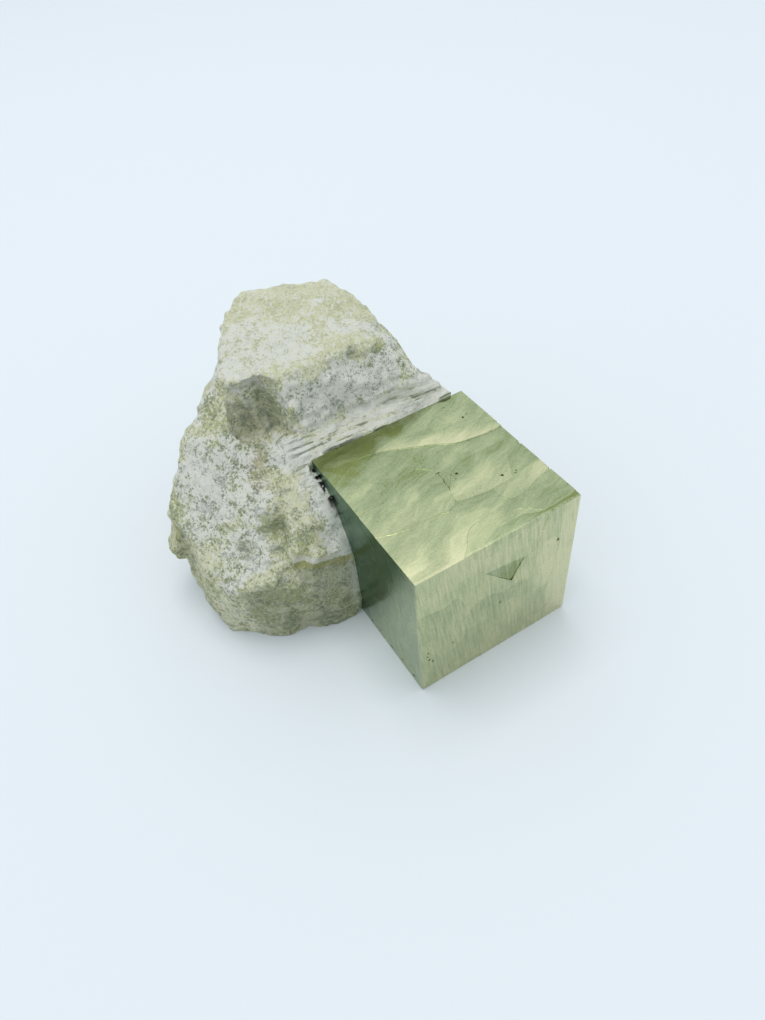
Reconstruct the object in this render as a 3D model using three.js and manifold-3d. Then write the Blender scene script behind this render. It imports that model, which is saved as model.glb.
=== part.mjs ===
// A pyrite cube on its marl matrix: one brassy crystal set, by its back and by part of its left side,
// in a chunk of pale olive marl. Millimetres, +Z up. The cube's front face looks along -Y.
import * as THREE from "three";
import { ConvexGeometry } from "three/addons/geometries/ConvexGeometry.js";
import { TessellateModifier } from "three/addons/modifiers/TessellateModifier.js";
import { ImprovedNoise } from "three/addons/math/ImprovedNoise.js";
import { mergeVertices } from "three/addons/utils/BufferGeometryUtils.js";
import Module from "manifold-3d";

const wasm = await Module();
wasm.setup();

// Driving dimensions.
const crystalWidth = 30; // along X, the front edge
const crystalDepth = 31; // along Y, from the free front face to the face set in the marl
const crystalHeight = 29;
const socketGap = 0.3; // free play between the crystal and its socket
const growthStep = 0.25; // height of one growth terrace on the cube
const marlFacet = 3.6; // longest edge of a facet on the broken marl
const marlRoughness = 0.55; // how far the broken surface wanders from its flat facets
const marlGrain = 7; // size of the lumps on the broken surface
const weldDistance = 1e-4; // corners nearer than this are one corner
const rockWeldDistance = 1e-3; // the same on the broken surface
const facetPasses = 12; // times a long facet edge may be halved
const overshoot = 1; // how far a cut reaches past the face it starts from

// The marl, as the blocky masses it breaks into. Corner points are measured from the cube's free
// bottom corner: X along its front edge, Y towards its back, Z up.
const crown = [
  // flat top, tilted up a little towards the back
  [-7, 42.5, 40.5], [-1.5, 39, 41], [10, 39, 41.5], [16.5, 38, 41], [20.5, 39.5, 40.5],
  [22.5, 49, 40.5], [19.5, 57, 43.5], [12, 60, 43], [6, 65, 42], [-3, 58, 42], [-8, 47, 40],
  // foot of the steep face above the cube
  [-5, 37, 30], [0, 35, 31], [12, 34.5, 31], [26.5, 32.5, 30.5],
  // flanks and back
  [25, 40, 29], [25, 50, 22], [23, 60, 25], [13, 67, 24], [-3, 65, 24], [-11, 57, 27],
  [27, 42, 12], [25.5, 54, 10], [20, 63, 13], [5, 68, 9], [-8, 62, 12],
  // foot
  [-9, 34, -1], [28, 31, -1], [25, 46, -1], [21, 56, -1], [11, 63, -1], [-3, 62, -1], [-10, 55, -1],
];
const ledge = [
  // bedded strip along the cube's back top edge, from the cube's left corner to its right one
  [-2, 31, 29.3], [28, 31, 28], [27, 33, 30.6], [12, 36, 32.4], [-2, 36, 31.6], [-6, 37, 30.5],
  [28, 31, -1], [26, 40, -1], [-8, 40, -1], [-2, 31, -1],
];
const flank = [
  // slope from the crown's left edge down to the bulge above the knob
  [-8, 47, 39.5], [-7.5, 43, 38.5], [-3, 57, 38], [-9.5, 53, 30], [-15, 46.5, 31], [-20, 44, 25.5],
  [-23.7, 42, 20], [-23, 47, 17], [-17, 54, 18], [-12, 58, 18],
  [-15, 39, 28], [-8, 38, 31], [-5, 37, 30], [-20, 35, 19],
  [-22.5, 48, 9], [-15.5, 56, 9],
  [-23, 42, -1], [-20, 49, -1], [-13, 54, -1], [-5, 37, -1], [-18, 35, -1],
];
const foot = [
  // one broad base under the other masses, drawn in where it meets the surface it stands on
  [-4, 30, 14], [26, 31, 14], [24, 50, 14], [16, 60, 14], [-6, 59, 14], [-16, 53, 14],
  [-21.5, 44, 12], [-21, 33, 12], [-18, 26, 10], [-8, 22, 12],
  [-5, 21, -1], [27, 31, -1], [23, 50, -1], [14, 59, -1], [-5, 58, -1], [-16, 51, -1],
  [-21.5, 42, -1], [-21, 33, -1], [-17, 26, -1],
];
const shoulder = [
  // whitish slope, from the saddle below the crown to its front edge
  [-8, 37, 30.5], [-15, 40, 27.5], [-3.5, 34, 29.7], [-22.3, 38.5, 20], [-22.7, 33, 16], [-20.3, 26, 13],
  [-17, 23.8, 14.5], [-12, 22.5, 16.5], [-5.5, 27, 21],
  // front face's foot and left flank
  [-23.5, 33, 6], [-21, 28, 3], [-17.5, 24.8, -1], [-13, 22, -1], [-7, 21, -1], [-22, 29, -1],
  [-24.5, 33, -1], [-23.8, 38, -1], [-21, 48, -1], [-7, 37, -1],
];
const brow = [
  // rib along the cube's left side: crest from the cube's back corner down to the front
  [-3, 34.5, 30.8], [3, 31, 29.5], [3, 26, 26.5], [3, 21.7, 20.8], [3, 19.8, 15.8],
  [-5.5, 21, 18.8], [-9.7, 22.9, 20], [-7.5, 28, 23.4], [-5, 33, 28.5],
  // front face's foot
  [-11.5, 24, 13], [3, 19.8, -1], [-3, 19.8, -1], [-8, 20.3, -1], [-13, 22.5, -1], [-9, 33, -1],
];
const knob = [
  [-25.7, 45, 11.5], [-25, 42, 9], [-25.5, 41, 13], [-23, 41, 16.5], [-22, 48, 15],
  [-21, 49, 9], [-22, 41, 8], [-19, 46, 7], [-19, 44, 15],
];
const hollow = [
  // the blocky hollow below the crown's front left edge
  [-7.8, 44.5, 38.3], [-2.3, 42.3, 39], [-1.5, 40, 34], [-5, 37.5, 29.8], [-8.3, 41, 31],
  [-9.5, 40.5, 40], [-8, 32, 40], [-1.5, 31, 40.5],
];

const trianglePit = [
  // three-sided growth pit in the cube's front face: three corners, a hair proud of it, then the deepest point
  [12.5, -0.01, 22.5], [19.9, -0.01, 21.2], [17.6, -0.01, 17], [17, 0.7, 20],
];
const middleTerrace = [
  // [across, back] outline on the cube's top, with its back line along the long growth step
  [-overshoot, -overshoot], [crystalWidth + overshoot, -overshoot],
  [crystalWidth + overshoot, 19.5], [25, 19.8], [15, 23.8], [11, 25.8], [-overshoot, 21],
];
const nearTerrace = [
  // the same for the lowest terrace, at the front right corner
  [11, -overshoot], [crystalWidth + overshoot, -overshoot],
  [crystalWidth + overshoot, 7.2], [26.5, 6.6], [21, 5], [18, 3.3], [12, 4.5],
];

const table = { reach: 200, depth: 60 }; // the block below the flat that the marl rests on

// A closed three.js geometry as a manifold-3d solid.
function solid(geometry) {
  const bare = new THREE.BufferGeometry();
  bare.setAttribute("position", geometry.getAttribute("position"));
  bare.setIndex(geometry.index);
  const merged = mergeVertices(bare, weldDistance);
  const vertProperties = merged.getAttribute("position").array;
  const triVerts = new Uint32Array(merged.index.array);
  return new wasm.Manifold(new wasm.Mesh({ numProp: 3, vertProperties, triVerts }));
}

// A manifold-3d solid as a three.js geometry.
function geometryOf(body) {
  const mesh = body.getMesh();
  const geometry = new THREE.BufferGeometry();
  geometry.setAttribute("position", new THREE.BufferAttribute(mesh.vertProperties, 3));
  geometry.setIndex(new THREE.BufferAttribute(mesh.triVerts, 1));
  geometry.computeVertexNormals();
  return geometry;
}

// The convex block that has these corners.
function block(corners) {
  return solid(new ConvexGeometry(corners.map((corner) => new THREE.Vector3(...corner))));
}

// An upright box between two corners.
function box(low, high) {
  const size = new THREE.Vector3().subVectors(high, low);
  const centre = new THREE.Vector3().addVectors(low, high).multiplyScalar(0.5);
  const geometry = new THREE.BoxGeometry(size.x, size.y, size.z);
  geometry.translate(centre.x, centre.y, centre.z);
  return solid(geometry);
}

// A flat outline of [across, along] points, pushed up by height.
function slab(outline, height) {
  const shape = new THREE.Shape(outline.map((point) => new THREE.Vector2(...point)));
  return new THREE.ExtrudeGeometry(shape, { depth: height, bevelEnabled: false });
}

// Breaks long facets up and lets the surface wander, as marl breaks.
function weathered(body) {
  const fine = new TessellateModifier(marlFacet, facetPasses).modify(geometryOf(body).toNonIndexed());
  fine.deleteAttribute("normal");
  const rock = mergeVertices(fine, rockWeldDistance);
  rock.computeVertexNormals();
  const noise = new ImprovedNoise();
  const place = rock.getAttribute("position");
  const outward = rock.getAttribute("normal");
  const point = new THREE.Vector3();
  const normal = new THREE.Vector3();
  for (let i = 0; i < place.count; i += 1) {
    point.fromBufferAttribute(place, i);
    normal.fromBufferAttribute(outward, i);
    const lump = noise.noise(point.x / marlGrain, point.y / marlGrain, point.z / marlGrain);
    point.addScaledVector(normal, 2 * marlRoughness * lump);
    place.setXYZ(i, point.x, point.y, point.z);
  }
  rock.deleteAttribute("normal");
  return solid(rock);
}

function marlMatrix() {
  const masses = [crown, ledge, flank, foot, shoulder, brow, knob].map(block);
  const mass = masses.reduce((whole, next) => whole.add(next)).subtract(block(hollow));
  const socket = box(
    new THREE.Vector3(-socketGap, -socketGap, -table.depth),
    new THREE.Vector3(crystalWidth + socketGap, crystalDepth + socketGap, crystalHeight + socketGap),
  );
  const below = box(
    new THREE.Vector3(-table.reach, -table.reach, -table.depth),
    new THREE.Vector3(table.reach, table.reach, 0),
  );
  return weathered(mass).subtract(socket).subtract(below);
}

// One growth terrace: everything inside the outline on the cube's top is a step lower.
function terrace(outline, steps) {
  const cut = slab(outline, growthStep * (steps + 1));
  cut.translate(0, 0, crystalHeight - growthStep * steps);
  return solid(cut);
}

function pyriteCrystal() {
  const cube = box(
    new THREE.Vector3(0, 0, 0),
    new THREE.Vector3(crystalWidth, crystalDepth, crystalHeight),
  );
  const terraces = terrace(middleTerrace, 1).add(terrace(nearTerrace, 2));
  return cube.subtract(terraces).subtract(block(trianglePit));
}

function piece(name, body, colour, roughness, metalness) {
  const material = new THREE.MeshStandardMaterial({ color: colour, roughness, metalness });
  const mesh = new THREE.Mesh(geometryOf(body), material);
  mesh.name = name;
  return mesh;
}

const specimen = new THREE.Group();
specimen.add(piece("marl_matrix", marlMatrix(), 0xb9c0a6, 0.95, 0));
specimen.add(piece("pyrite_crystal", pyriteCrystal(), 0xa9b488, 0.3, 0.9));

// The origin is under the middle of the whole specimen, on the surface it stands on.
const reach = new THREE.Box3().setFromObject(specimen);
const middle = reach.getCenter(new THREE.Vector3());
specimen.position.set(-middle.x, -middle.y, -reach.min.z);

export default specimen;
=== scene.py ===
import math
import random
import bpy
from mathutils import Euler, Matrix, Vector


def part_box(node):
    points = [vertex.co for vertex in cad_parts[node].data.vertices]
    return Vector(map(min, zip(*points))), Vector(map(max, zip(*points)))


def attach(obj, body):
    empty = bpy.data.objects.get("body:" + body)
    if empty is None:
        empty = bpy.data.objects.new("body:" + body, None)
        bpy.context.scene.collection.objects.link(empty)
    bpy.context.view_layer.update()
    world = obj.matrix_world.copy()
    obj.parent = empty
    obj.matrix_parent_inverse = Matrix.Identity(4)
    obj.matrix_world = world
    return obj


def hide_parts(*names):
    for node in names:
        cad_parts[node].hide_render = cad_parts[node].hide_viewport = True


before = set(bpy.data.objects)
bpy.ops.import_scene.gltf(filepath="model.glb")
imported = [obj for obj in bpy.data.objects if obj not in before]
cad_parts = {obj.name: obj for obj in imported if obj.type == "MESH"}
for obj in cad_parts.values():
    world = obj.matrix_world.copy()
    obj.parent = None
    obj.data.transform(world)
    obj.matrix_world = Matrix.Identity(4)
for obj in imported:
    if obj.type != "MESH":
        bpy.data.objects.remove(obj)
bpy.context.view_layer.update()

mm = 0.001
cubeLow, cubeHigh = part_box("pyrite_crystal")
cubeSize = cubeHigh - cubeLow


# a place in millimetres from the cube's free bottom corner: x along the front edge, y back, z up
def at(x, y, z):
    return cubeLow + Vector((x, y, z)) * mm


def deselectAll():
    if bpy.context.object and bpy.context.object.mode != "OBJECT":
        bpy.ops.object.mode_set(mode="OBJECT")
    bpy.ops.object.select_all(action="DESELECT")


def pick(piece):
    deselectAll()
    piece.select_set(True)
    bpy.context.view_layer.objects.active = piece


def addBox(name, low, high):
    deselectAll()
    bpy.ops.mesh.primitive_cube_add(size=1, location=(low + high) / 2)
    piece = bpy.context.object
    piece.name = name
    piece.scale = high - low
    bpy.ops.object.transform_apply(location=True, rotation=True, scale=True)
    return piece


# select vertices by place and go into edit mode
def editWhere(piece, test):
    pick(piece)
    bpy.ops.object.mode_set(mode="EDIT")
    bpy.ops.mesh.select_mode(type="VERT")
    bpy.ops.mesh.select_all(action="DESELECT")
    bpy.ops.object.mode_set(mode="OBJECT")
    for vertex in piece.data.vertices:
        vertex.select = test(vertex.co)
    bpy.ops.object.mode_set(mode="EDIT")


def applyModifier(piece, kind, **settings):
    pick(piece)
    modifier = piece.modifiers.new(kind.lower(), kind)
    for key, value in settings.items():
        setattr(modifier, key, value)
    bpy.ops.object.modifier_apply(modifier=modifier.name)


def cutAway(piece, tool):
    applyModifier(piece, "BOOLEAN", object=tool, operation="DIFFERENCE", solver="EXACT")
    bpy.data.objects.remove(tool)


def weldOn(piece, other):
    applyModifier(piece, "BOOLEAN", object=other, operation="UNION", solver="EXACT")
    bpy.data.objects.remove(other)


# a small angular block, to break out of a surface
def chip(place, size, chance):
    half = Vector((size, size * 0.7, size * 0.6)) * mm / 2
    tool = addBox("chip", -half, half)
    tool.rotation_euler = [chance.uniform(0, 6) for axis in range(3)]
    tool.location = place
    bpy.ops.object.transform_apply(location=True, rotation=True, scale=True)
    return tool


class Wire:
    # one socket of a material; sums on it add Math nodes
    def __init__(self, tree, socket):
        self.tree = tree
        self.socket = socket

    def node(self, kind, settings, inputs, output=0):
        made = self.tree.nodes.new(kind)
        for key, value in settings.items():
            if key == "stops":
                setStops(made.color_ramp, value)
            else:
                setattr(made, key, value)
        for key, value in inputs.items():
            if isinstance(value, Wire):
                self.tree.links.new(value.socket, made.inputs[key])
            else:
                made.inputs[key].default_value = value
        return Wire(self.tree, made.outputs[output])

    def math(self, operation, first, second):
        return self.node("ShaderNodeMath", {"operation": operation}, {0: first, 1: second})

    def __add__(self, other):
        return self.math("ADD", self, other)

    def __sub__(self, other):
        return self.math("SUBTRACT", self, other)

    def __mul__(self, other):
        return self.math("MULTIPLY", self, other)

    def __radd__(self, other):
        return self.math("ADD", other, self)

    def __rsub__(self, other):
        return self.math("SUBTRACT", other, self)

    def __rmul__(self, other):
        return self.math("MULTIPLY", other, self)

    def most(self, other):
        return self.math("MAXIMUM", self, other)

    def least(self, other):
        return self.math("MINIMUM", self, other)

    # 0 at low, 1 at high, soft between; either may be the larger
    def between(self, low, high):
        return self.node("ShaderNodeMapRange", {"interpolation_type": "SMOOTHSTEP"},
                         {"Value": self, "From Min": low, "From Max": high})

    # the other colour where factor is 1
    def blend(self, other, factor):
        return self.node("ShaderNodeMix", {"data_type": "RGBA"}, {0: factor, 6: self, 7: other}, 2)

    def noise(self, size, detail=3.0, rough=0.55, warp=0.0, output="Fac"):
        return self.node("ShaderNodeTexNoise", {},
                         {"Vector": self, "Scale": 1 / size, "Detail": detail,
                          "Roughness": rough, "Distortion": warp}, output)

    # its three numbers
    def axes(self):
        parts = self.node("ShaderNodeSeparateXYZ", {}, {0: self}).socket.node.outputs
        return [Wire(self.tree, part) for part in parts]

    def shift(self, other, operation="ADD"):
        return self.node("ShaderNodeVectorMath", {"operation": operation}, {0: self, 1: other})

    # moved about by a noise of this size, so that a pattern on it doesn't run straight
    def drifted(self, size, detail, reach):
        drift = self.noise(size, detail, output="Color").shift((0.5, 0.5, 0.5), "SUBTRACT")
        drift = drift.node("ShaderNodeVectorMath", {"operation": "SCALE"}, {0: drift, "Scale": reach})
        return self.shift(drift)

    # turned by degrees, then squeezed: a pattern on it runs long along the axes with small numbers
    def stretched(self, turn, squeeze):
        turned = self.node("ShaderNodeMapping", {},
                           {"Vector": self, "Rotation": [math.radians(angle) for angle in turn]})
        return turned.node("ShaderNodeMapping", {}, {"Vector": turned, "Scale": squeeze})

    # 1 at a place, fading to 0 about reach away
    def near(self, place, reach):
        distance = self.node("ShaderNodeVectorMath", {"operation": "DISTANCE"}, {0: self, 1: place},
                             "Value")
        return 1 - distance.between(reach * 0.55, reach * 1.25)


def setStops(ramp, stops):
    while len(ramp.elements) < len(stops):
        ramp.elements.new(0.5)
    for element, (place, colour) in zip(ramp.elements, stops):
        element.position = place
        element.color = (*colour, 1)


# a new material, its Principled shader, and object coordinates in millimetres from the cube's corner
def newFinish(name):
    finish = bpy.data.materials.new(name)
    finish.use_nodes = True
    tree = finish.node_tree
    shader = tree.nodes["Principled BSDF"]
    coordinates = tree.nodes.new("ShaderNodeTexCoord")
    start = Wire(tree, coordinates.outputs["Object"])
    place = start.node("ShaderNodeMapping", {},
                       {"Vector": start, "Scale": (1 / mm,) * 3, "Location": -cubeLow / mm})
    return finish, shader, place


def feed(shader, socket, wire):
    wire.tree.links.new(wire.socket, shader.inputs[socket])


view = {
    "place": (-31.09, -54.40, 112.53),  # mm from the cube's corner
    "tilt": 42.825, "heading": -26.75, "roll": -6.456,  # degrees
    "lens": 26.47, "sensor": 36,  # mm
    "nearest": 5,  # mm, nothing nearer is drawn
}


def setCamera():
    deselectAll()
    bpy.ops.object.camera_add(location=at(*view["place"]))
    camera = bpy.context.object
    aim = Euler((math.radians(view["tilt"]), 0, math.radians(view["heading"]))).to_matrix()
    camera.rotation_euler = (aim @ Matrix.Rotation(math.radians(view["roll"]), 3, "Z")).to_euler()
    camera.data.lens = view["lens"]
    camera.data.sensor_width = view["sensor"]
    camera.data.clip_start = view["nearest"] * mm
    bpy.context.scene.camera = camera


studio = {
    "floorSize": 4.0, "floorRoughness": 0.75, "floorShine": 0.2, "floorColour": (0.625, 0.66, 0.70, 1),
    "skyColour": (0.92, 0.985, 1.02, 1), "skyFront": 0.92, "skyBack": 0.97,  # brightness before and behind
    "skyWay": (0.35, 0.8, 0.5),  # towards the brighter side
    "boxPlace": (-0.01, 0.15, 1.1), "boxSize": 0.62, "boxPower": 5.3,
}


def setStudio():
    deselectAll()
    bpy.ops.mesh.primitive_plane_add(size=studio["floorSize"], location=(0, 0, -0.02 * mm))
    floor = bpy.context.object
    floor.name = "floor"
    finish = bpy.data.materials.new("floorFinish")
    finish.use_nodes = True
    shader = finish.node_tree.nodes["Principled BSDF"]
    shader.inputs["Base Color"].default_value = studio["floorColour"]
    shader.inputs["Roughness"].default_value = studio["floorRoughness"]
    shader.inputs["Specular IOR Level"].default_value = studio["floorShine"]
    floor.data.materials.append(finish)

    sky = bpy.data.worlds.new("studioSky")
    sky.use_nodes = True
    backdrop = sky.node_tree.nodes["Background"]
    backdrop.inputs["Color"].default_value = studio["skyColour"]
    way = Wire(sky.node_tree, sky.node_tree.nodes.new("ShaderNodeTexCoord").outputs["Generated"])
    backness = way.node("ShaderNodeVectorMath", {"operation": "DOT_PRODUCT"},
                        {0: way, 1: studio["skyWay"]}, "Value").between(-0.7, 0.6)
    strength = studio["skyFront"] + (studio["skyBack"] - studio["skyFront"]) * backness
    sky.node_tree.links.new(strength.socket, backdrop.inputs["Strength"])
    bpy.context.scene.world = sky

    place = Vector(studio["boxPlace"])
    bpy.ops.object.light_add(type="AREA", location=place)
    softBox = bpy.context.object
    softBox.rotation_euler = place.to_track_quat("Z", "Y").to_euler()
    softBox.data.shape = "SQUARE"
    softBox.data.size = studio["boxSize"]
    softBox.data.energy = studio["boxPower"]
    softBox.data.color = (1.0, 0.99, 0.96)
    bpy.context.scene.view_settings.view_transform = "Standard"


marl = {
    "voxel": 0.37,  # mm, the finest lump the mesh holds
    "weld": 0.01,  # mm, corners nearer than this are one
    "close": 0.05,  # mm, how near a flat a corner counts as on it
    "socketGap": 0.3,  # mm, free play in the frame's socket
    "spare": 1.5,  # mm, how far the socket walls and the foot are pushed out before they are cut back
    "hairline": 0.02,  # mm, what is left open between cube and rock
    "smoothing": 2,
    "lumps": [  # texture, size and height in mm
        ("CLOUDS", 5.0, 1.1),
        ("VORONOI", 2.6, 0.9),
    ],
    "grains": [
        ("HARD", 1.9, 0.8),
        ("CLOUDS", 0.8, 0.75),
    ],
    # pulls on the surface: place, move and reach in mm
    "pulls": [
        # outline of the flanks, the back and the foot
        ((-7, 57, 36), (2.8, -1.7, 0), 9.5), ((-15, 47, 30), (-0.8, 0.3, 0.3), 6),
        ((19.5, 58.5, 43), (0.4, 0.4, 0), 4), ((25, 38, 35), (-0.8, -0.3, -0.5), 5),
        ((28, 32, 29.5), (0.6, -0.8, 0.3), 4), ((-24.4, 33, 0), (1.6, 0.3, 0), 5),
        ((-23.8, 43.5, 19.5), (1.0, -0.2, 0), 3),
        # the brow, its underside, and the fold beside it
        ((-4, 20.2, 10), (0, -2.4, 0.2), 12), ((-9.4, 24, 18.3), (-0.3, -1.6, 0.1), 2.6),
        ((-5.7, 21.3, 17.8), (0, -1.6, 0.1), 2.8), ((-2.1, 20.6, 17.3), (0, -1.4, 0.1), 2.6),
        ((-14, 24, 15), (0, -0.9, 0.5), 3), ((-18, 25.2, 13.6), (0, -0.9, 0.5), 3),
        ((-10.4, 25, 18.3), (0.2, 0.8, -0.8), 2.8), ((-8.6, 26.8, 21.6), (0.2, 0.8, -0.8), 2.8),
        ((-6.8, 28.6, 24.6), (0.2, 0.6, -0.6), 2.4),
        # lumps on the rib right of the hollow
        ((0.4, 36.8, 35.3), (-0.2, -1.3, 0.4), 2.0), ((-0.5, 37.5, 38.5), (-0.3, -1.2, 0.1), 2.0),
        ((-1.4, 36.5, 32.5), (-0.4, -1.2, 0.2), 2.0),
    ],
    # the value of each texture that leaves the surface where it is
    "levels": {"CLOUDS": 0.5, "VORONOI": 0.35, "HARD": 0.3},
    # blocks broken out of it: middle, size, turn in degrees about x, y, z
    "breaks": [((-2.8, 38.8, 36.1), (4.0, 6.8, 10.0), (-8, 6, 24)),
               ((-6.0, 39.2, 35.2), (4.6, 6.8, 10.4), (-4, -5, 30)),
               ((-5, 14.9, 9), (17, 10, 26), (-2, 0, -5))],
    # size and height of the beds in mm, how much longer they run along x, y, z, and how far off the cube
    "bedding": {"size": 0.8, "height": 1.0, "run": (10.0, 2.0, 1),
                "left": 4, "before": 2, "behind": 5.5, "above": 6},
    # open places beside the cube, in mm: how far back, least and most size, highest one, and their fall
    "gaps": {"rows": [30.6, 29.9, 29.0, 27.9, 26.6, 25.4, 24.2], "size": (1.0, 1.8),
             "top": 27.6, "fall": 0.05},
    "smoothUnder": 40,  # degrees
}


def lumpTexture(kind, size):
    texture = bpy.data.textures.new("lump" + kind.title(), "CLOUDS" if kind == "HARD" else kind)
    texture.noise_scale = size * mm
    if kind == "HARD":
        texture.noise_type = "HARD_NOISE"
    if kind != "VORONOI":
        texture.noise_depth = 3
    else:
        texture.weight_1 = -1
        texture.weight_2 = 1
    return texture


def makeMarl():
    piece = bpy.data.objects.new("marlRock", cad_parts["marl_matrix"].data.copy())
    bpy.context.scene.collection.objects.link(piece)
    piece.data.materials.clear()
    editWhere(piece, lambda place: True)
    bpy.ops.mesh.remove_doubles(threshold=marl["weld"] * mm)

    # the socket walls are pushed into the cube's room, and cut back to the cube once the rock is rough
    close = marl["close"] * mm
    spare = marl["spare"] * mm
    back = cubeHigh.y + marl["socketGap"] * mm
    side = cubeLow.x - marl["socketGap"] * mm
    editWhere(piece, lambda place: abs(place.y - back) < close and place.x > side - close)
    bpy.ops.transform.translate(value=(0, -spare, 0))
    editWhere(piece, lambda place: abs(place.x - side) < close and place.y < back + close)
    bpy.ops.transform.translate(value=(spare, 0, 0))
    # and the foot is pushed below the floor
    editWhere(piece, lambda place: place.z < close)
    bpy.ops.transform.translate(value=(0, 0, -spare))
    bpy.ops.object.mode_set(mode="OBJECT")
    applyModifier(piece, "REMESH", mode="VOXEL", voxel_size=marl["voxel"] * mm)
    applyModifier(piece, "SMOOTH", factor=0.5, iterations=marl["smoothing"])
    for place, move, reach in marl["pulls"]:
        pull(piece, at(*place), Vector(move) * mm, reach * mm)
    roughen(piece, marl["lumps"])
    applyModifier(piece, "REMESH", mode="VOXEL", voxel_size=marl["voxel"] * mm)
    for middle, size, turn in marl["breaks"]:
        half = Vector(size) * mm / 2
        block = addBox("block", -half, half)
        block.rotation_euler = [math.radians(angle) for angle in turn]
        block.location = at(*middle)
        bpy.ops.object.transform_apply(location=True, rotation=True, scale=True)
        cutAway(piece, block)
    roughen(piece, marl["grains"])
    addBedding(piece)
    applyModifier(piece, "REMESH", mode="VOXEL", voxel_size=marl["voxel"] * mm)

    # one cut takes out the cube's room, the open places beside it, and all below the floor
    hairline = marl["hairline"]
    room = addBox("room", at(-hairline, -6, -6), at(60, 31 + hairline, 60))
    chance = random.Random(5)
    gaps = marl["gaps"]
    for y in gaps["rows"]:
        middle = at(-0.15, y, gaps["top"] - gaps["fall"] * (31 - y) ** 1.5)
        weldOn(room, chip(middle, chance.uniform(*gaps["size"]), chance))
    weldOn(room, addBox("belowFloor", at(-90, -60, -30), at(90, 120, 0)))
    cutAway(piece, room)
    pick(piece)
    bpy.ops.object.shade_smooth_by_angle(angle=math.radians(marl["smoothUnder"]))
    return piece


def roughen(piece, lumps):
    for kind, size, height in lumps:
        applyModifier(piece, "DISPLACE", texture=lumpTexture(kind, size), texture_coords="LOCAL",
                      strength=height * mm, mid_level=marl["levels"][kind])


# moves the surface about a place, less and less out to the reach
def pull(piece, place, move, reach):
    for vertex in piece.data.vertices:
        away = (vertex.co - place).length / reach
        if away < 1:
            vertex.co += move * (1 - away ** 2) ** 2


# the strip behind the cube's top edge breaks along its beds, which run with that edge
def addBedding(piece):
    bed = marl["bedding"]
    deselectAll()
    bpy.ops.object.empty_add(location=at(12, 31, 29))
    guide = bpy.context.object
    guide.scale = bed["run"]
    editWhere(piece, lambda place: place.x > cubeLow.x - bed["left"] * mm
              and cubeHigh.y - bed["before"] * mm < place.y < cubeHigh.y + bed["behind"] * mm
              and place.z < cubeHigh.z + bed["above"] * mm)
    piece.vertex_groups.new(name="bedded")
    bpy.ops.object.vertex_group_assign()
    bpy.ops.object.mode_set(mode="OBJECT")
    applyModifier(piece, "DISPLACE", texture=lumpTexture("CLOUDS", bed["size"]), texture_coords="OBJECT",
                  texture_coords_object=guide, strength=bed["height"] * mm, mid_level=0.5,
                  vertex_group="bedded")
    bpy.data.objects.remove(guide)


marlLook = {
    "olive": (0.61, 0.63, 0.32, 1),
    "cream": (0.88, 0.87, 0.59, 1),
    "chalk": (1.0, 1.0, 0.92, 1),
    "greyGreen": (0.21, 0.27, 0.23, 1),
    "shade": (0.17, 0.21, 0.12, 1),
    # painted shade in the open places beside the cube
    "gap": (0.02, 0.02, 0.02, 1),
    "rust": (0.36, 0.27, 0.14, 1),
    "yellow": (0.52, 0.50, 0.16, 1),
    "roughness": 0.92, "shine": 0.25,
    "bump": 0.8,  # mm
    # places and reaches in mm
    "chipSpots": [(13.7, 51.0, 42.8, 0.8), (15.1, 51.7, 42.8, 0.8), (13.4, 45.5, 41.8, 0.8),
                  (16, 45, 41.6, 0.8)],
    "chalkSpots": [(15, 45, 41.5, 3.2), (18.5, 42, 41, 3), (21, 39, 38, 3), (25, 35, 33, 4),
                   (-3, 34.4, 30.3, 4), (-11, 38.5, 29.5, 5), (-15, 42, 29.5, 4), (-16, 37, 24.4, 5),
                   (-11, 33, 25, 4.5), (-19, 37, 21, 4.5), (-15, 29, 18.5, 5), (-20, 28, 14.5, 3),
                   (-18.6, 42, 26, 4), (-1.5, 25.6, 25.3, 2.8), (-1.2, 22.5, 20, 2.2), (-7, 49, 38, 3),
                   (-11, 49, 34, 4), (-12.4, 22.8, 5.7, 1.8), (10, 37, 36, 4.5), (4, 37, 35, 3.5),
                   (17, 36.5, 35, 4)],
    "oliveSpots": [(-7, 33, 27, 3), (-5, 29.6, 26.3, 3), (-4.6, 24.6, 23.1, 3), (-10, 21, 8, 9),
                   (-4, 19, 7, 9), (-18, 24, 7, 7), (-22, 27, 5, 6), (-24, 41, 13, 6), (-22, 32, 13, 4)],
    "creamSpots": [(16, 53, 42, 7), (22, 52, 42, 7), (9, 40, 40, 4), (3, 38, 38, 4)],
    "paleSpots": [(0, 50, 42, 7), (5, 45, 42, 6), (-3, 46, 41, 5), (3, 37.8, 37.5, 4),
                  (10, 37, 37, 4.5), (18, 36, 35.5, 4), (5, 36, 34, 3.5), (13, 36, 34, 4),
                  (-2, 33.5, 30, 3), (-1.5, 28, 27, 3), (-1.5, 24, 23, 3), (-1.5, 21, 19, 3)],
    # painted shade in mottled patches, most in the hollow and by the brow
    "darkSpots": [(-2.0, 41, 36, 2.6), (-2.5, 40, 33, 2.4), (-6, 43, 34, 2.6), (-10, 28.3, 22.2, 2.4),
                  (-15.3, 29, 18.5, 1.8), (13.2, 38.4, 40.6, 1.6), (-13, 22.5, 3.5, 2.2),
                  (-6, 20, 2, 3), (-10.4, 25.5, 18, 1.5)],
    "rustSpots": [(-7.7, 36.2, 29.4, 2.4), (-9, 33.6, 26.5, 1.8)],
    "yellowSpots": [(-16.1, 44, 29.2, 2.2), (-9, 22.6, 17.0, 1.6), (-5.7, 19.9, 16.6, 2.0),
                    (-2, 19.6, 15.8, 2.0), (-23.5, 42, 16, 2.5)],
}


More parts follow.
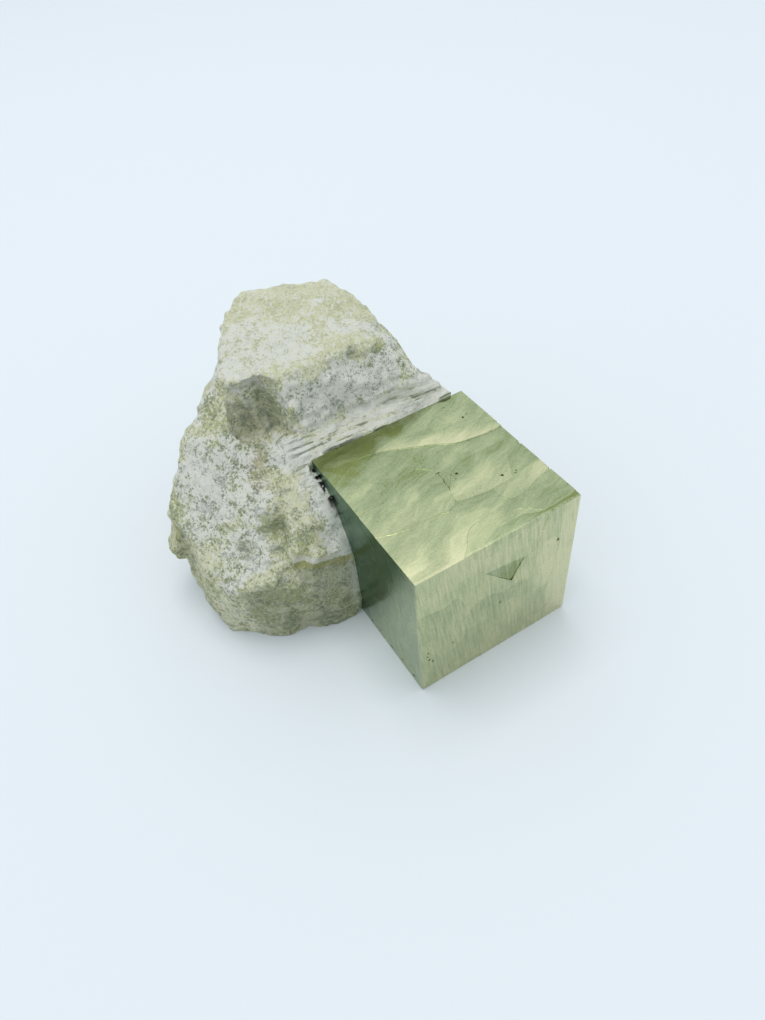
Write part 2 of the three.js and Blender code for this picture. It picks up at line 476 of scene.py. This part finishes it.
def marlFinish():
    finish, shader, place = newFinish("marlFinish")
    wander = place.drifted(2.2, 4, 6.0)

    def spots(key):
        total = None
        for x, y, z, reach in marlLook[key]:
            mask = wander.near((x, y, z), reach)
            total = mask if total is None else total.most(mask)
        return total

    x, y, z = place.axes()
    patch = place.noise(6.5, 4, 0.6)
    lump = place.noise(1.6, 5, 0.75)
    grain = place.noise(0.5, 4, 0.85)
    fine = place.noise(0.22, 2, 0.9)
    flecks = place.stretched((0, 0, 35), (1, 0.3, 1)).noise(0.4, 3, 0.75)
    beds = place.stretched((14, 0, 0), (0.06, 0.5, 1)).noise(0.6, 4, 0.65)

    # the bedded strip behind the cube, and the rim beside it
    strip = (y.between(36.5, 34) * x.between(-4, -1) * z.between(34, 32)).least(z.between(26, 28))
    rim = x.between(-2.6, -0.8) * y.between(31, 30) * z.between(2, 8)
    olive = spots("oliveSpots")
    chalk = spots("chalkSpots").most(rim * 0.9)
    plateau = z.between(39.5, 41)
    cream = spots("creamSpots")

    ground = (patch * 0.5 + lump * 0.25 + grain * 0.25).between(0.44, 0.54)
    colour = place.node("ShaderNodeMix", {"data_type": "RGBA"},
                        {0: ground, 6: marlLook["olive"], 7: marlLook["cream"]}, 2)
    colour = colour.blend(marlLook["cream"], (plateau * 0.8).most(cream * 0.8))
    colour = colour.blend(marlLook["yellow"], spots("yellowSpots") * 0.65)
    colour = colour.blend(marlLook["rust"], spots("rustSpots") * 0.45)
    # painted shade on the front: below the crest on the brow, and lower down left of it
    crest = z + x * 0.17 + (lump - 0.5) * 0.7
    brow = x.between(-9.9, -9.5) * y.between(26, 25)
    face = (crest.between(16.4, 16.2) * brow).most(crest.between(11.0, 10.6) * y.between(26, 25))
    dust = (chalk * 0.62 - face * 0.3 + (patch - 0.5) * 0.7 + (lump - 0.5) * 3.2 + (grain - 0.5) * 2.4
            + spots("paleSpots") * 0.6 - olive * 0.4 - cream * 0.12)
    colour = colour.blend(marlLook["chalk"], dust.between(0.15, 0.65) * 0.9)
    clean = 1 - strip.most(rim) * 0.8
    clear = 1 - strip.most(rim * 0.7) * 0.75
    smudge = (place.noise(2.6, 5, 0.75) + (grain - 0.5) * 0.5).between(0.46, 0.40)
    colour = colour.blend(marlLook["greyGreen"], smudge * (0.4 - plateau * 0.25) * clean)
    colour = colour.blend(marlLook["chalk"], strip * beds.between(0.42, 0.5) * 0.9)
    salt = (grain * 0.35 + flecks * 0.65 + (lump - 0.5) * 0.2).between(0.52, 0.56)
    colour = colour.blend(marlLook["chalk"], salt * (0.6 + plateau * 0.25))
    colour = colour.blend(marlLook["greyGreen"], strip * beds.between(0.43, 0.38) * 0.8)
    pepper = (grain * 0.55 + fine * 0.45 + (lump - 0.5) * 0.5 - chalk * 0.012).between(0.455, 0.42)
    colour = colour.blend(marlLook["greyGreen"], pepper * (0.75 - plateau * 0.45) * clear)
    colour = colour.blend(marlLook["chalk"], rim * (lump + grain).between(0.9, 1.02) * 0.7)
    # painted shade in mottled patches, most in the hollow and by the brow
    paintedShade = spots("darkSpots")
    seams = place.stretched((0, 0, 0), (0.12, 0.12, 1)).noise(0.5, 3, 0.7)
    patchy = (lump * 0.6 + grain * 0.8 + seams * 0.5 - 0.95) * 5 + 0.5
    colour = colour.blend(marlLook["shade"], paintedShade * patchy.between(0, 1) * 0.8)
    # painted shade on the front, below the crest
    colour = colour.blend(marlLook["shade"], face * 0.34)
    # a painted highlight: a chalky line along the crest; and a yellow line under it, partly the rock's
    # yellow and partly painted shade
    above = crest.between(16.3, 16.5) * crest.between(17.9, 17.0)
    below = crest.between(16.4, 16.1) * crest.between(14.6, 15.6)
    colour = colour.blend(marlLook["chalk"], brow * above * 0.6)
    colour = colour.blend(marlLook["yellow"], brow * below * 0.5)
    colour = colour.blend(marlLook["chalk"], spots("chipSpots"))
    # painted shade, near black, where the rock stands open from the cube
    besideCube = x.between(-0.9, -0.4) * x.between(0.6, 0.2) * y.between(23, 25) * y.between(31.4, 31)
    gap = besideCube * z.between(29, 28.6) * place.noise(1.4, 2).between(0.5, 0.55)
    colour = colour.blend(marlLook["gap"], gap)
    feed(shader, "Base Color", colour)
    shader.inputs["Roughness"].default_value = marlLook["roughness"]
    shader.inputs["Specular IOR Level"].default_value = marlLook["shine"]
    height = grain * 1.1 + fine * 0.5 + lump * 0.6 + beds * strip * 0.8
    bump = height.node("ShaderNodeBump", {},
                       {"Strength": 1.0, "Distance": marlLook["bump"] * mm, "Height": height})
    feed(shader, "Normal", bump)
    return finish


pyrite = {
    "cornerRound": 0.08,  # mm
    # growth steps. foot is a place in one, in mm on the face. depth is how deep it lies there, and dip how
    # much deeper per mm. tone is 0 for deep green to 1 for cream there, and fade how much more per mm.
    # line goes round it.
    # the tones are partly the cube's own colour and partly painted reflection
    "steps": [
        # pale brink behind the long step across the top
        {"face": "top", "foot": (18, 22.5), "depth": 0.035, "dip": (-0.0041, -0.0102),
         "tone": 1.0, "fade": (-0.075, -0.2),
         "line": [(9.5, 26.4), (11, 25.4), (15, 23.5), (18, 22.2), (21.3, 20.2), (25, 19.5), (32, 19.2),
                  (32, 23), (27, 23.2), (23, 24.2), (19, 25.4), (15, 26.8), (11.5, 27.2)]},
        # all in front of the long step
        {"face": "top", "foot": (18, 22), "depth": 0.15, "dip": (0.011, 0.0075),
         "tone": 0.28, "fade": (-0.004, -0.012),
         "line": [(-3, -3), (33, -3), (33, 19.6), (30, 19.5), (27, 19.5), (25, 19.8), (21.3, 20.5),
                  (18, 22.5), (15, 23.8), (11, 25.7), (8.5, 26.4), (5, 27.0), (2, 27.2), (-3, 28)]},
        # left scale
        {"face": "top", "foot": (7, 14), "depth": 0.17, "dip": (0.002, 0.014),
         "tone": 0.5, "fade": (-0.012, -0.03),
         "line": [(-3, 14.6), (0, 15.5), (2.5, 16.5), (7, 18.5), (11, 19.3), (13.5, 18.9), (15, 16.6),
                  (14.6, 13), (13.8, 9.9), (12.5, 9.0), (10, 9.4), (8, 9.5), (5, 9.6), (1.5, 10.4),
                  (-3, 10.9)]},
        # right scale
        {"face": "top", "foot": (22, 13), "depth": 0.16, "dip": (0.003, 0.012),
         "tone": 0.5, "fade": (0.0, -0.075),
         "line": [(14.2, 11.8), (17, 15.3), (20, 16.5), (24, 16.8), (28, 16.7), (33, 16.9), (33, 9.8),
                  (26, 9.3), (23, 8.9), (20, 8.8), (17, 9.2), (14.1, 9.8)]},
        # kite
        {"face": "top", "foot": (24, 7.5), "depth": 0.16, "dip": (0.01, 0.01),
         "tone": 0.62, "fade": (0.02, -0.04),
         "line": [(20, 8.6), (20.3, 6.5), (21.3, 5.4), (24.5, 5.8), (26.5, 6.6), (30, 7.3), (33, 7.6),
                  (33, 10), (26, 9.4), (23, 8.9)]},
        # near field
        {"face": "top", "foot": (12, 6), "depth": 0.17, "dip": (-0.001, 0.012),
         "tone": 0.56, "fade": (-0.012, -0.02),
         "line": [(-3, 10.9), (1.5, 10.2), (4, 9.5), (8, 9.4), (10, 9.3), (12, 8.8), (13.9, 9.5),
                  (17, 8.9), (19.8, 8.5), (20.2, 6.3), (21.3, 5.2), (24.5, 5.6), (26.5, 6.4), (30, 7.1),
                  (33, 7.4), (33, -3), (-3, -3)]},
        # strip along the front edge
        {"face": "top", "foot": (18, 2), "depth": 0.19, "dip": (0.0, 0.02),
         "tone": 0.55, "fade": (0.01, 0.02),
         "line": [(13, 4.5), (15.5, 3.8), (18, 3.2), (20, 3.6), (22, 2.2), (23.5, 1.1), (27, 1.2),
                  (33, 1.3), (33, -3), (8, -3), (10, 1.5)]},
        # sliver at the front right corner
        {"face": "top", "foot": (18, 1), "depth": 0.22, "dip": (0.0, -0.03),
         "tone": 0.3, "fade": (-0.015, 0),
         "line": [(11, -3), (12, 0), (14.5, 1.4), (17.5, 2.4), (20, 2.1), (23.5, 0.8), (28, 1.0),
                  (33, 0.9), (33, -3)]},
        # thin right sliver in front of the long step
        {"face": "top", "foot": (28, 19), "depth": 0.19, "dip": (0.0, 0.01),
         "tone": 0.15, "fade": (0, 0),
         "line": [(23, 20), (26, 18.6), (33, 17.9), (33, 19.6), (27, 19.5)]},
        # front face: field under the top edge
        {"face": "front", "foot": (15, 25), "depth": 0.07, "dip": (0.004, 0.004),
         "tone": 0.45, "fade": (0, 0.01),
         "line": [(9.2, 31), (9.2, 26), (9.6, 22.6), (11, 20.2), (14, 20), (20.5, 20.8), (22.6, 23),
                  (23.3, 26), (23.6, 31)]},
        # front face: lens
        {"face": "front", "foot": (16, 28), "depth": 0.11, "dip": (0, 0.012),
         "tone": 0.3, "fade": (0, -0.04),
         "line": [(9.8, 31), (10, 28), (12, 26.2), (15.5, 25.6), (19, 26.6), (22, 28), (23, 31)]},
        # front face: three-sided pit
        {"face": "front", "foot": (16, 21), "depth": 0.1, "dip": (0, -0.015),
         "tone": 0.0, "fade": (0, 0.03),
         "line": [(12.3, 22.4), (16, 21.9), (19.9, 21.2), (17.6, 17)]},
        # front face: left field
        {"face": "front", "foot": (4, 15), "depth": 0.05, "dip": (0.004, 0.006),
         "tone": 0.3, "fade": (0.01, -0.02),
         "line": [(-3, 19.8), (1.5, 20.3), (4.5, 19.7), (7, 20.2), (8.6, 17), (9.6, 12), (8, 8), (4, 6),
                  (-3, 5)]},
        # front face: right band
        {"face": "front", "foot": (28, 15), "depth": 0.05, "dip": (0.012, 0),
         "tone": 0.7, "fade": (0.02, 0),
         "line": [(26.6, 33), (26.9, 20), (26.2, 14), (25.2, 8), (26.5, -3), (33, -3), (33, 33)]},
        # front face: patch by the right band
        {"face": "front", "foot": (24, 16), "depth": 0.05, "dip": (0.01, 0.004),
         "tone": 0.6, "fade": (0.05, 0),
         "line": [(22.6, 21), (24.5, 22), (26.6, 21), (26.5, 15), (25, 10.6), (22.8, 11.5), (21.9, 16)]},
        # front face: middle patch
        {"face": "front", "foot": (15, 12), "depth": 0.04, "dip": (0.0, 0.008),
         "tone": 0.35, "fade": (0, -0.03),
         "line": [(9.4, 15), (13, 16.4), (16.5, 15.2), (20, 15.5), (21, 11), (18, 7.6), (14, 7),
                  (10.5, 9)]},
    ],
    # small pits: face, u, v, size in mm
    "pits": [("top", 15, 16.5, 0.7), ("top", 16.6, 13.8, 0.6), ("top", 17.5, 14.8, 0.75),
             ("top", 23, 10.2, 0.7), ("top", 25, 9.6, 0.6), ("top", 25.4, 9.9, 0.5),
             ("top", 26, 25, 0.6), ("top", 27, 25.3, 0.5), ("top", 24.8, 29, 0.5),
             ("top", 14, 21.5, 0.55), ("top", 14.8, 20.3, 0.45), ("top", 11.8, 16.4, 0.5),
             ("front", 1.2, 6, 0.5), ("front", 1.8, 8, 0.6), ("front", 1.5, 10, 0.5),
             ("front", 2.2, 7.1, 0.45), ("front", 1.4, 9.1, 0.45), ("front", 15.6, 12.7, 0.55),
             ("front", 26.4, 20.7, 0.7), ("front", 25.9, 3.8, 0.5), ("front", 6.3, 9.0, 0.5),
             ("left", 2.5, 1.2, 0.6), ("left", 6, 1.4, 0.5), ("left", 9.5, 0.9, 0.6),
             ("left", 13.2, 1.5, 0.5), ("left", 16, 1.0, 0.6)],
    # knocks on the edges: place and size in mm
    "knocks": [((30, 14.6, 29), 0.9), ((30, 7.2, 29), 0.8), ((30, 8.3, 29.1), 0.6),
               ((30, 20.5, 29), 0.6), ((0, 0, 0), 0.9), ((30, 0, 0.2), 0.8), ((0, 6, 0), 0.6),
               ((12, 0, 0), 0.5), ((30, 3, 29), 0.5)],
    "sway": 0.09,  # mm, how far a growth line wanders
    "lineStep": 0.9, "straightRun": 6,  # mm, its points' spacing, and the length past which it is straight
    "wallLean": 0.3, "wallRise": 0.5,  # mm, the slope of a step's wall
    "plain": 0.42,  # tone outside all steps
    "smoothUnder": 8,  # degrees
}


# (u, v, out) in mm on a face of the cube to a place: out is away from the cube
def onFace(face, u, v, out):
    height = (cubeSize / mm).z
    return {
        "top": at(u, v, height + out),
        "front": at(u, -out, v),
        "left": at(-out, u, v),
    }[face]


# a smooth line through the corners of an outline, with a little sway
def wandering(outline, chance):
    line = []
    count = len(outline)
    if count < 5:  # a plain pit keeps its straight sides
        return [Vector(corner) for corner in outline]
    for index in range(count):
        before, here, then, after = (Vector(outline[(index + step) % count]) for step in (-1, 0, 1, 2))
        run = (then - here).length
        parts = max(1, round(run / pyrite["lineStep"]))
        for part in range(parts):
            t = part / parts
            place = 0.5 * (2 * here + (then - before) * t
                           + (2 * before - 5 * here + 4 * then - after) * t ** 2
                           + (3 * here - before - 3 * then + after) * t ** 3)
            if run > pyrite["straightRun"]:
                place = here.lerp(then, t)
            sway = pyrite["sway"]
            line.append(place + Vector((chance.uniform(-sway, sway), chance.uniform(-sway, sway))))
    return line


# the tool's wall leans outwards, so that the step it leaves is a slope and not a crack
def stepTool(step, chance):
    line = wandering(step["line"], chance)
    foot = Vector(step["foot"])
    count = len(line)
    area = sum(line[i - 1].cross(line[i]) for i in range(count))
    outward = 1 if area > 0 else -1
    low, high, tones = [], [], []
    for index, place in enumerate(line):
        way = line[(index + 1) % count] - line[index - 1]
        aside = Vector((way.y, -way.x)).normalized() * outward
        wide = place + aside * pyrite["wallLean"]
        deep = step["depth"] + (place - foot).dot(Vector(step["dip"]))
        low.append(onFace(step["face"], place.x, place.y, -deep))
        high.append(onFace(step["face"], wide.x, wide.y, pyrite["wallRise"] - deep))
        tones.append(step["tone"] + (place - foot).dot(Vector(step["fade"])))
    mesh = bpy.data.meshes.new("stepTool")
    sides = [(i, (i + 1) % count, count + (i + 1) % count, count + i) for i in range(count)]
    mesh.from_pydata([tuple(place) for place in low + high], [],
                     [tuple(range(count)), tuple(range(count, 2 * count)), *sides])
    tool = bpy.data.objects.new("stepTool", mesh)
    bpy.context.scene.collection.objects.link(tool)
    pick(tool)
    bpy.ops.object.mode_set(mode="EDIT")
    bpy.ops.mesh.select_all(action="SELECT")
    bpy.ops.mesh.quads_convert_to_tris(ngon_method="BEAUTY")
    bpy.ops.mesh.normals_make_consistent(inside=False)
    bpy.ops.object.mode_set(mode="OBJECT")
    paint = mesh.attributes.new("tone", "FLOAT", "CORNER")
    for corner, spot in zip(mesh.loops, paint.data):
        index = corner.vertex_index
        spot.value = tones[index] if index < count else 1.0
    return tool


def makePyrite():
    piece = addBox("pyriteCube", cubeLow, cubeHigh)
    applyModifier(piece, "BEVEL", width=pyrite["cornerRound"] * mm, segments=2)
    paint = piece.data.attributes.new("tone", "FLOAT", "CORNER")
    for spot in paint.data:
        spot.value = pyrite["plain"]
    chance = random.Random(3)
    for step in pyrite["steps"]:
        cutAway(piece, stepTool(step, chance))
    for face, u, v, size in pyrite["pits"]:
        cutAway(piece, chip(onFace(face, u, v, size * 0.12), size, chance))
    for place, size in pyrite["knocks"]:
        cutAway(piece, chip(at(*place), size, chance))
    pick(piece)
    bpy.ops.object.shade_smooth_by_angle(angle=math.radians(pyrite["smoothUnder"]))
    return piece


pyriteLook = {
    "tones": [(0.0, (0.25, 0.29, 0.10)), (0.3, (0.35, 0.41, 0.235)), (0.6, (0.48, 0.52, 0.30)),
              (1.0, (0.66, 0.645, 0.40))],
    # painted reflection of the shaded rock on the left face
    "left": (0.05, 0.17, 0.085, 1),
    "pitted": (0.16, 0.20, 0.10, 1),
    "roughness": (0.16, 0.3),  # least and most
    "bump": 0.3, "bumpStrength": 0.4,  # mm, and 0 to 1
}


def pyriteFinish():
    finish, shader, place = newFinish("pyriteFinish")
    wander = place.drifted(6, 2, 5.0)
    x, y, z = place.axes()
    tone = place.node("ShaderNodeAttribute", {"attribute_name": "tone"}, {}, "Fac")
    cloud = wander.stretched((0, 0, -20), (0.5, 1.3, 1)).noise(5, 3, 0.5)
    ripple = wander.stretched((0, 0, -18), (0.14, 1, 0.25)).noise(1.3, 3, 0.6)
    strike = place.stretched((0, 6, 0), (1, 1, 0.07)).noise(0.4, 3, 0.7)
    brush = wander.stretched((0, 0, -17), (0.12, 1, 0.25)).noise(0.45, 3, 0.7)
    # painted reflection of the rock: the top darker towards its back left corner
    corner = wander.near((1, 29, 29), 7).most(wander.near((8, 30, 29), 4.5))
    corner = corner.most(wander.near((14, 30.5, 29), 3))
    onFront = y.between(0.6, 0.3)
    lines = ripple + (strike - ripple) * onFront
    grain = place.noise(0.3, 3, 0.65)
    # the cube's tone, partly its own colour and partly painted reflection: lighter on the front face,
    # darker at the top's back left corner
    shade = (tone + onFront * 0.27 + (cloud - 0.5) * 0.8 + (lines - 0.5) * (0.65 + onFront * 0.9)
             + (brush - 0.5) * (0.55 - onFront * 0.55) + (grain - 0.5) * 0.7 - corner * 0.35)
    colour = shade.node("ShaderNodeValToRGB", {"stops": pyriteLook["tones"]}, {0: shade})
    # painted reflection of the shaded rock: deep green on the left face, deepest high up and towards the
    # rock
    paintedRockReflection = 0.2 + 0.8 * (y + z * 0.52 + cloud * 4).between(17, 23)
    colour = colour.blend(pyriteLook["left"], x.between(0.06, 0.02) * paintedRockReflection * 0.9)
    # small pits, thicker along the left face's foot
    edge = z.between(1.8, 0.3) * x.between(0.1, 0.05)
    speck = (grain + (cloud - 0.5) * 0.3 - edge * 0.14).between(0.32, 0.26)
    colour = colour.blend(pyriteLook["pitted"], speck * 0.6)
    feed(shader, "Base Color", colour)
    shader.inputs["Metallic"].default_value = 1.0
    low, high = pyriteLook["roughness"]
    feed(shader, "Roughness", low + (high - low) * cloud.between(0.35, 0.65))
    height = cloud * 0.7 + ripple * 0.1 + strike * onFront * 0.05 + grain * 0.03
    bump = height.node("ShaderNodeBump", {},
                       {"Strength": pyriteLook["bumpStrength"], "Distance": pyriteLook["bump"] * mm,
                        "Height": height})
    feed(shader, "Normal", bump)
    return finish


setCamera()
setStudio()
print("camera, floor and light set")

rock = makeMarl()
rock.data.materials.append(marlFinish())
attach(rock, "root")
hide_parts("marl_matrix")
print("marl made:", len(rock.data.polygons), "faces")

cube = makePyrite()
cube.data.materials.append(pyriteFinish())
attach(cube, "root")
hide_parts("pyrite_crystal")
print("pyrite made:", len(cube.data.polygons), "faces")
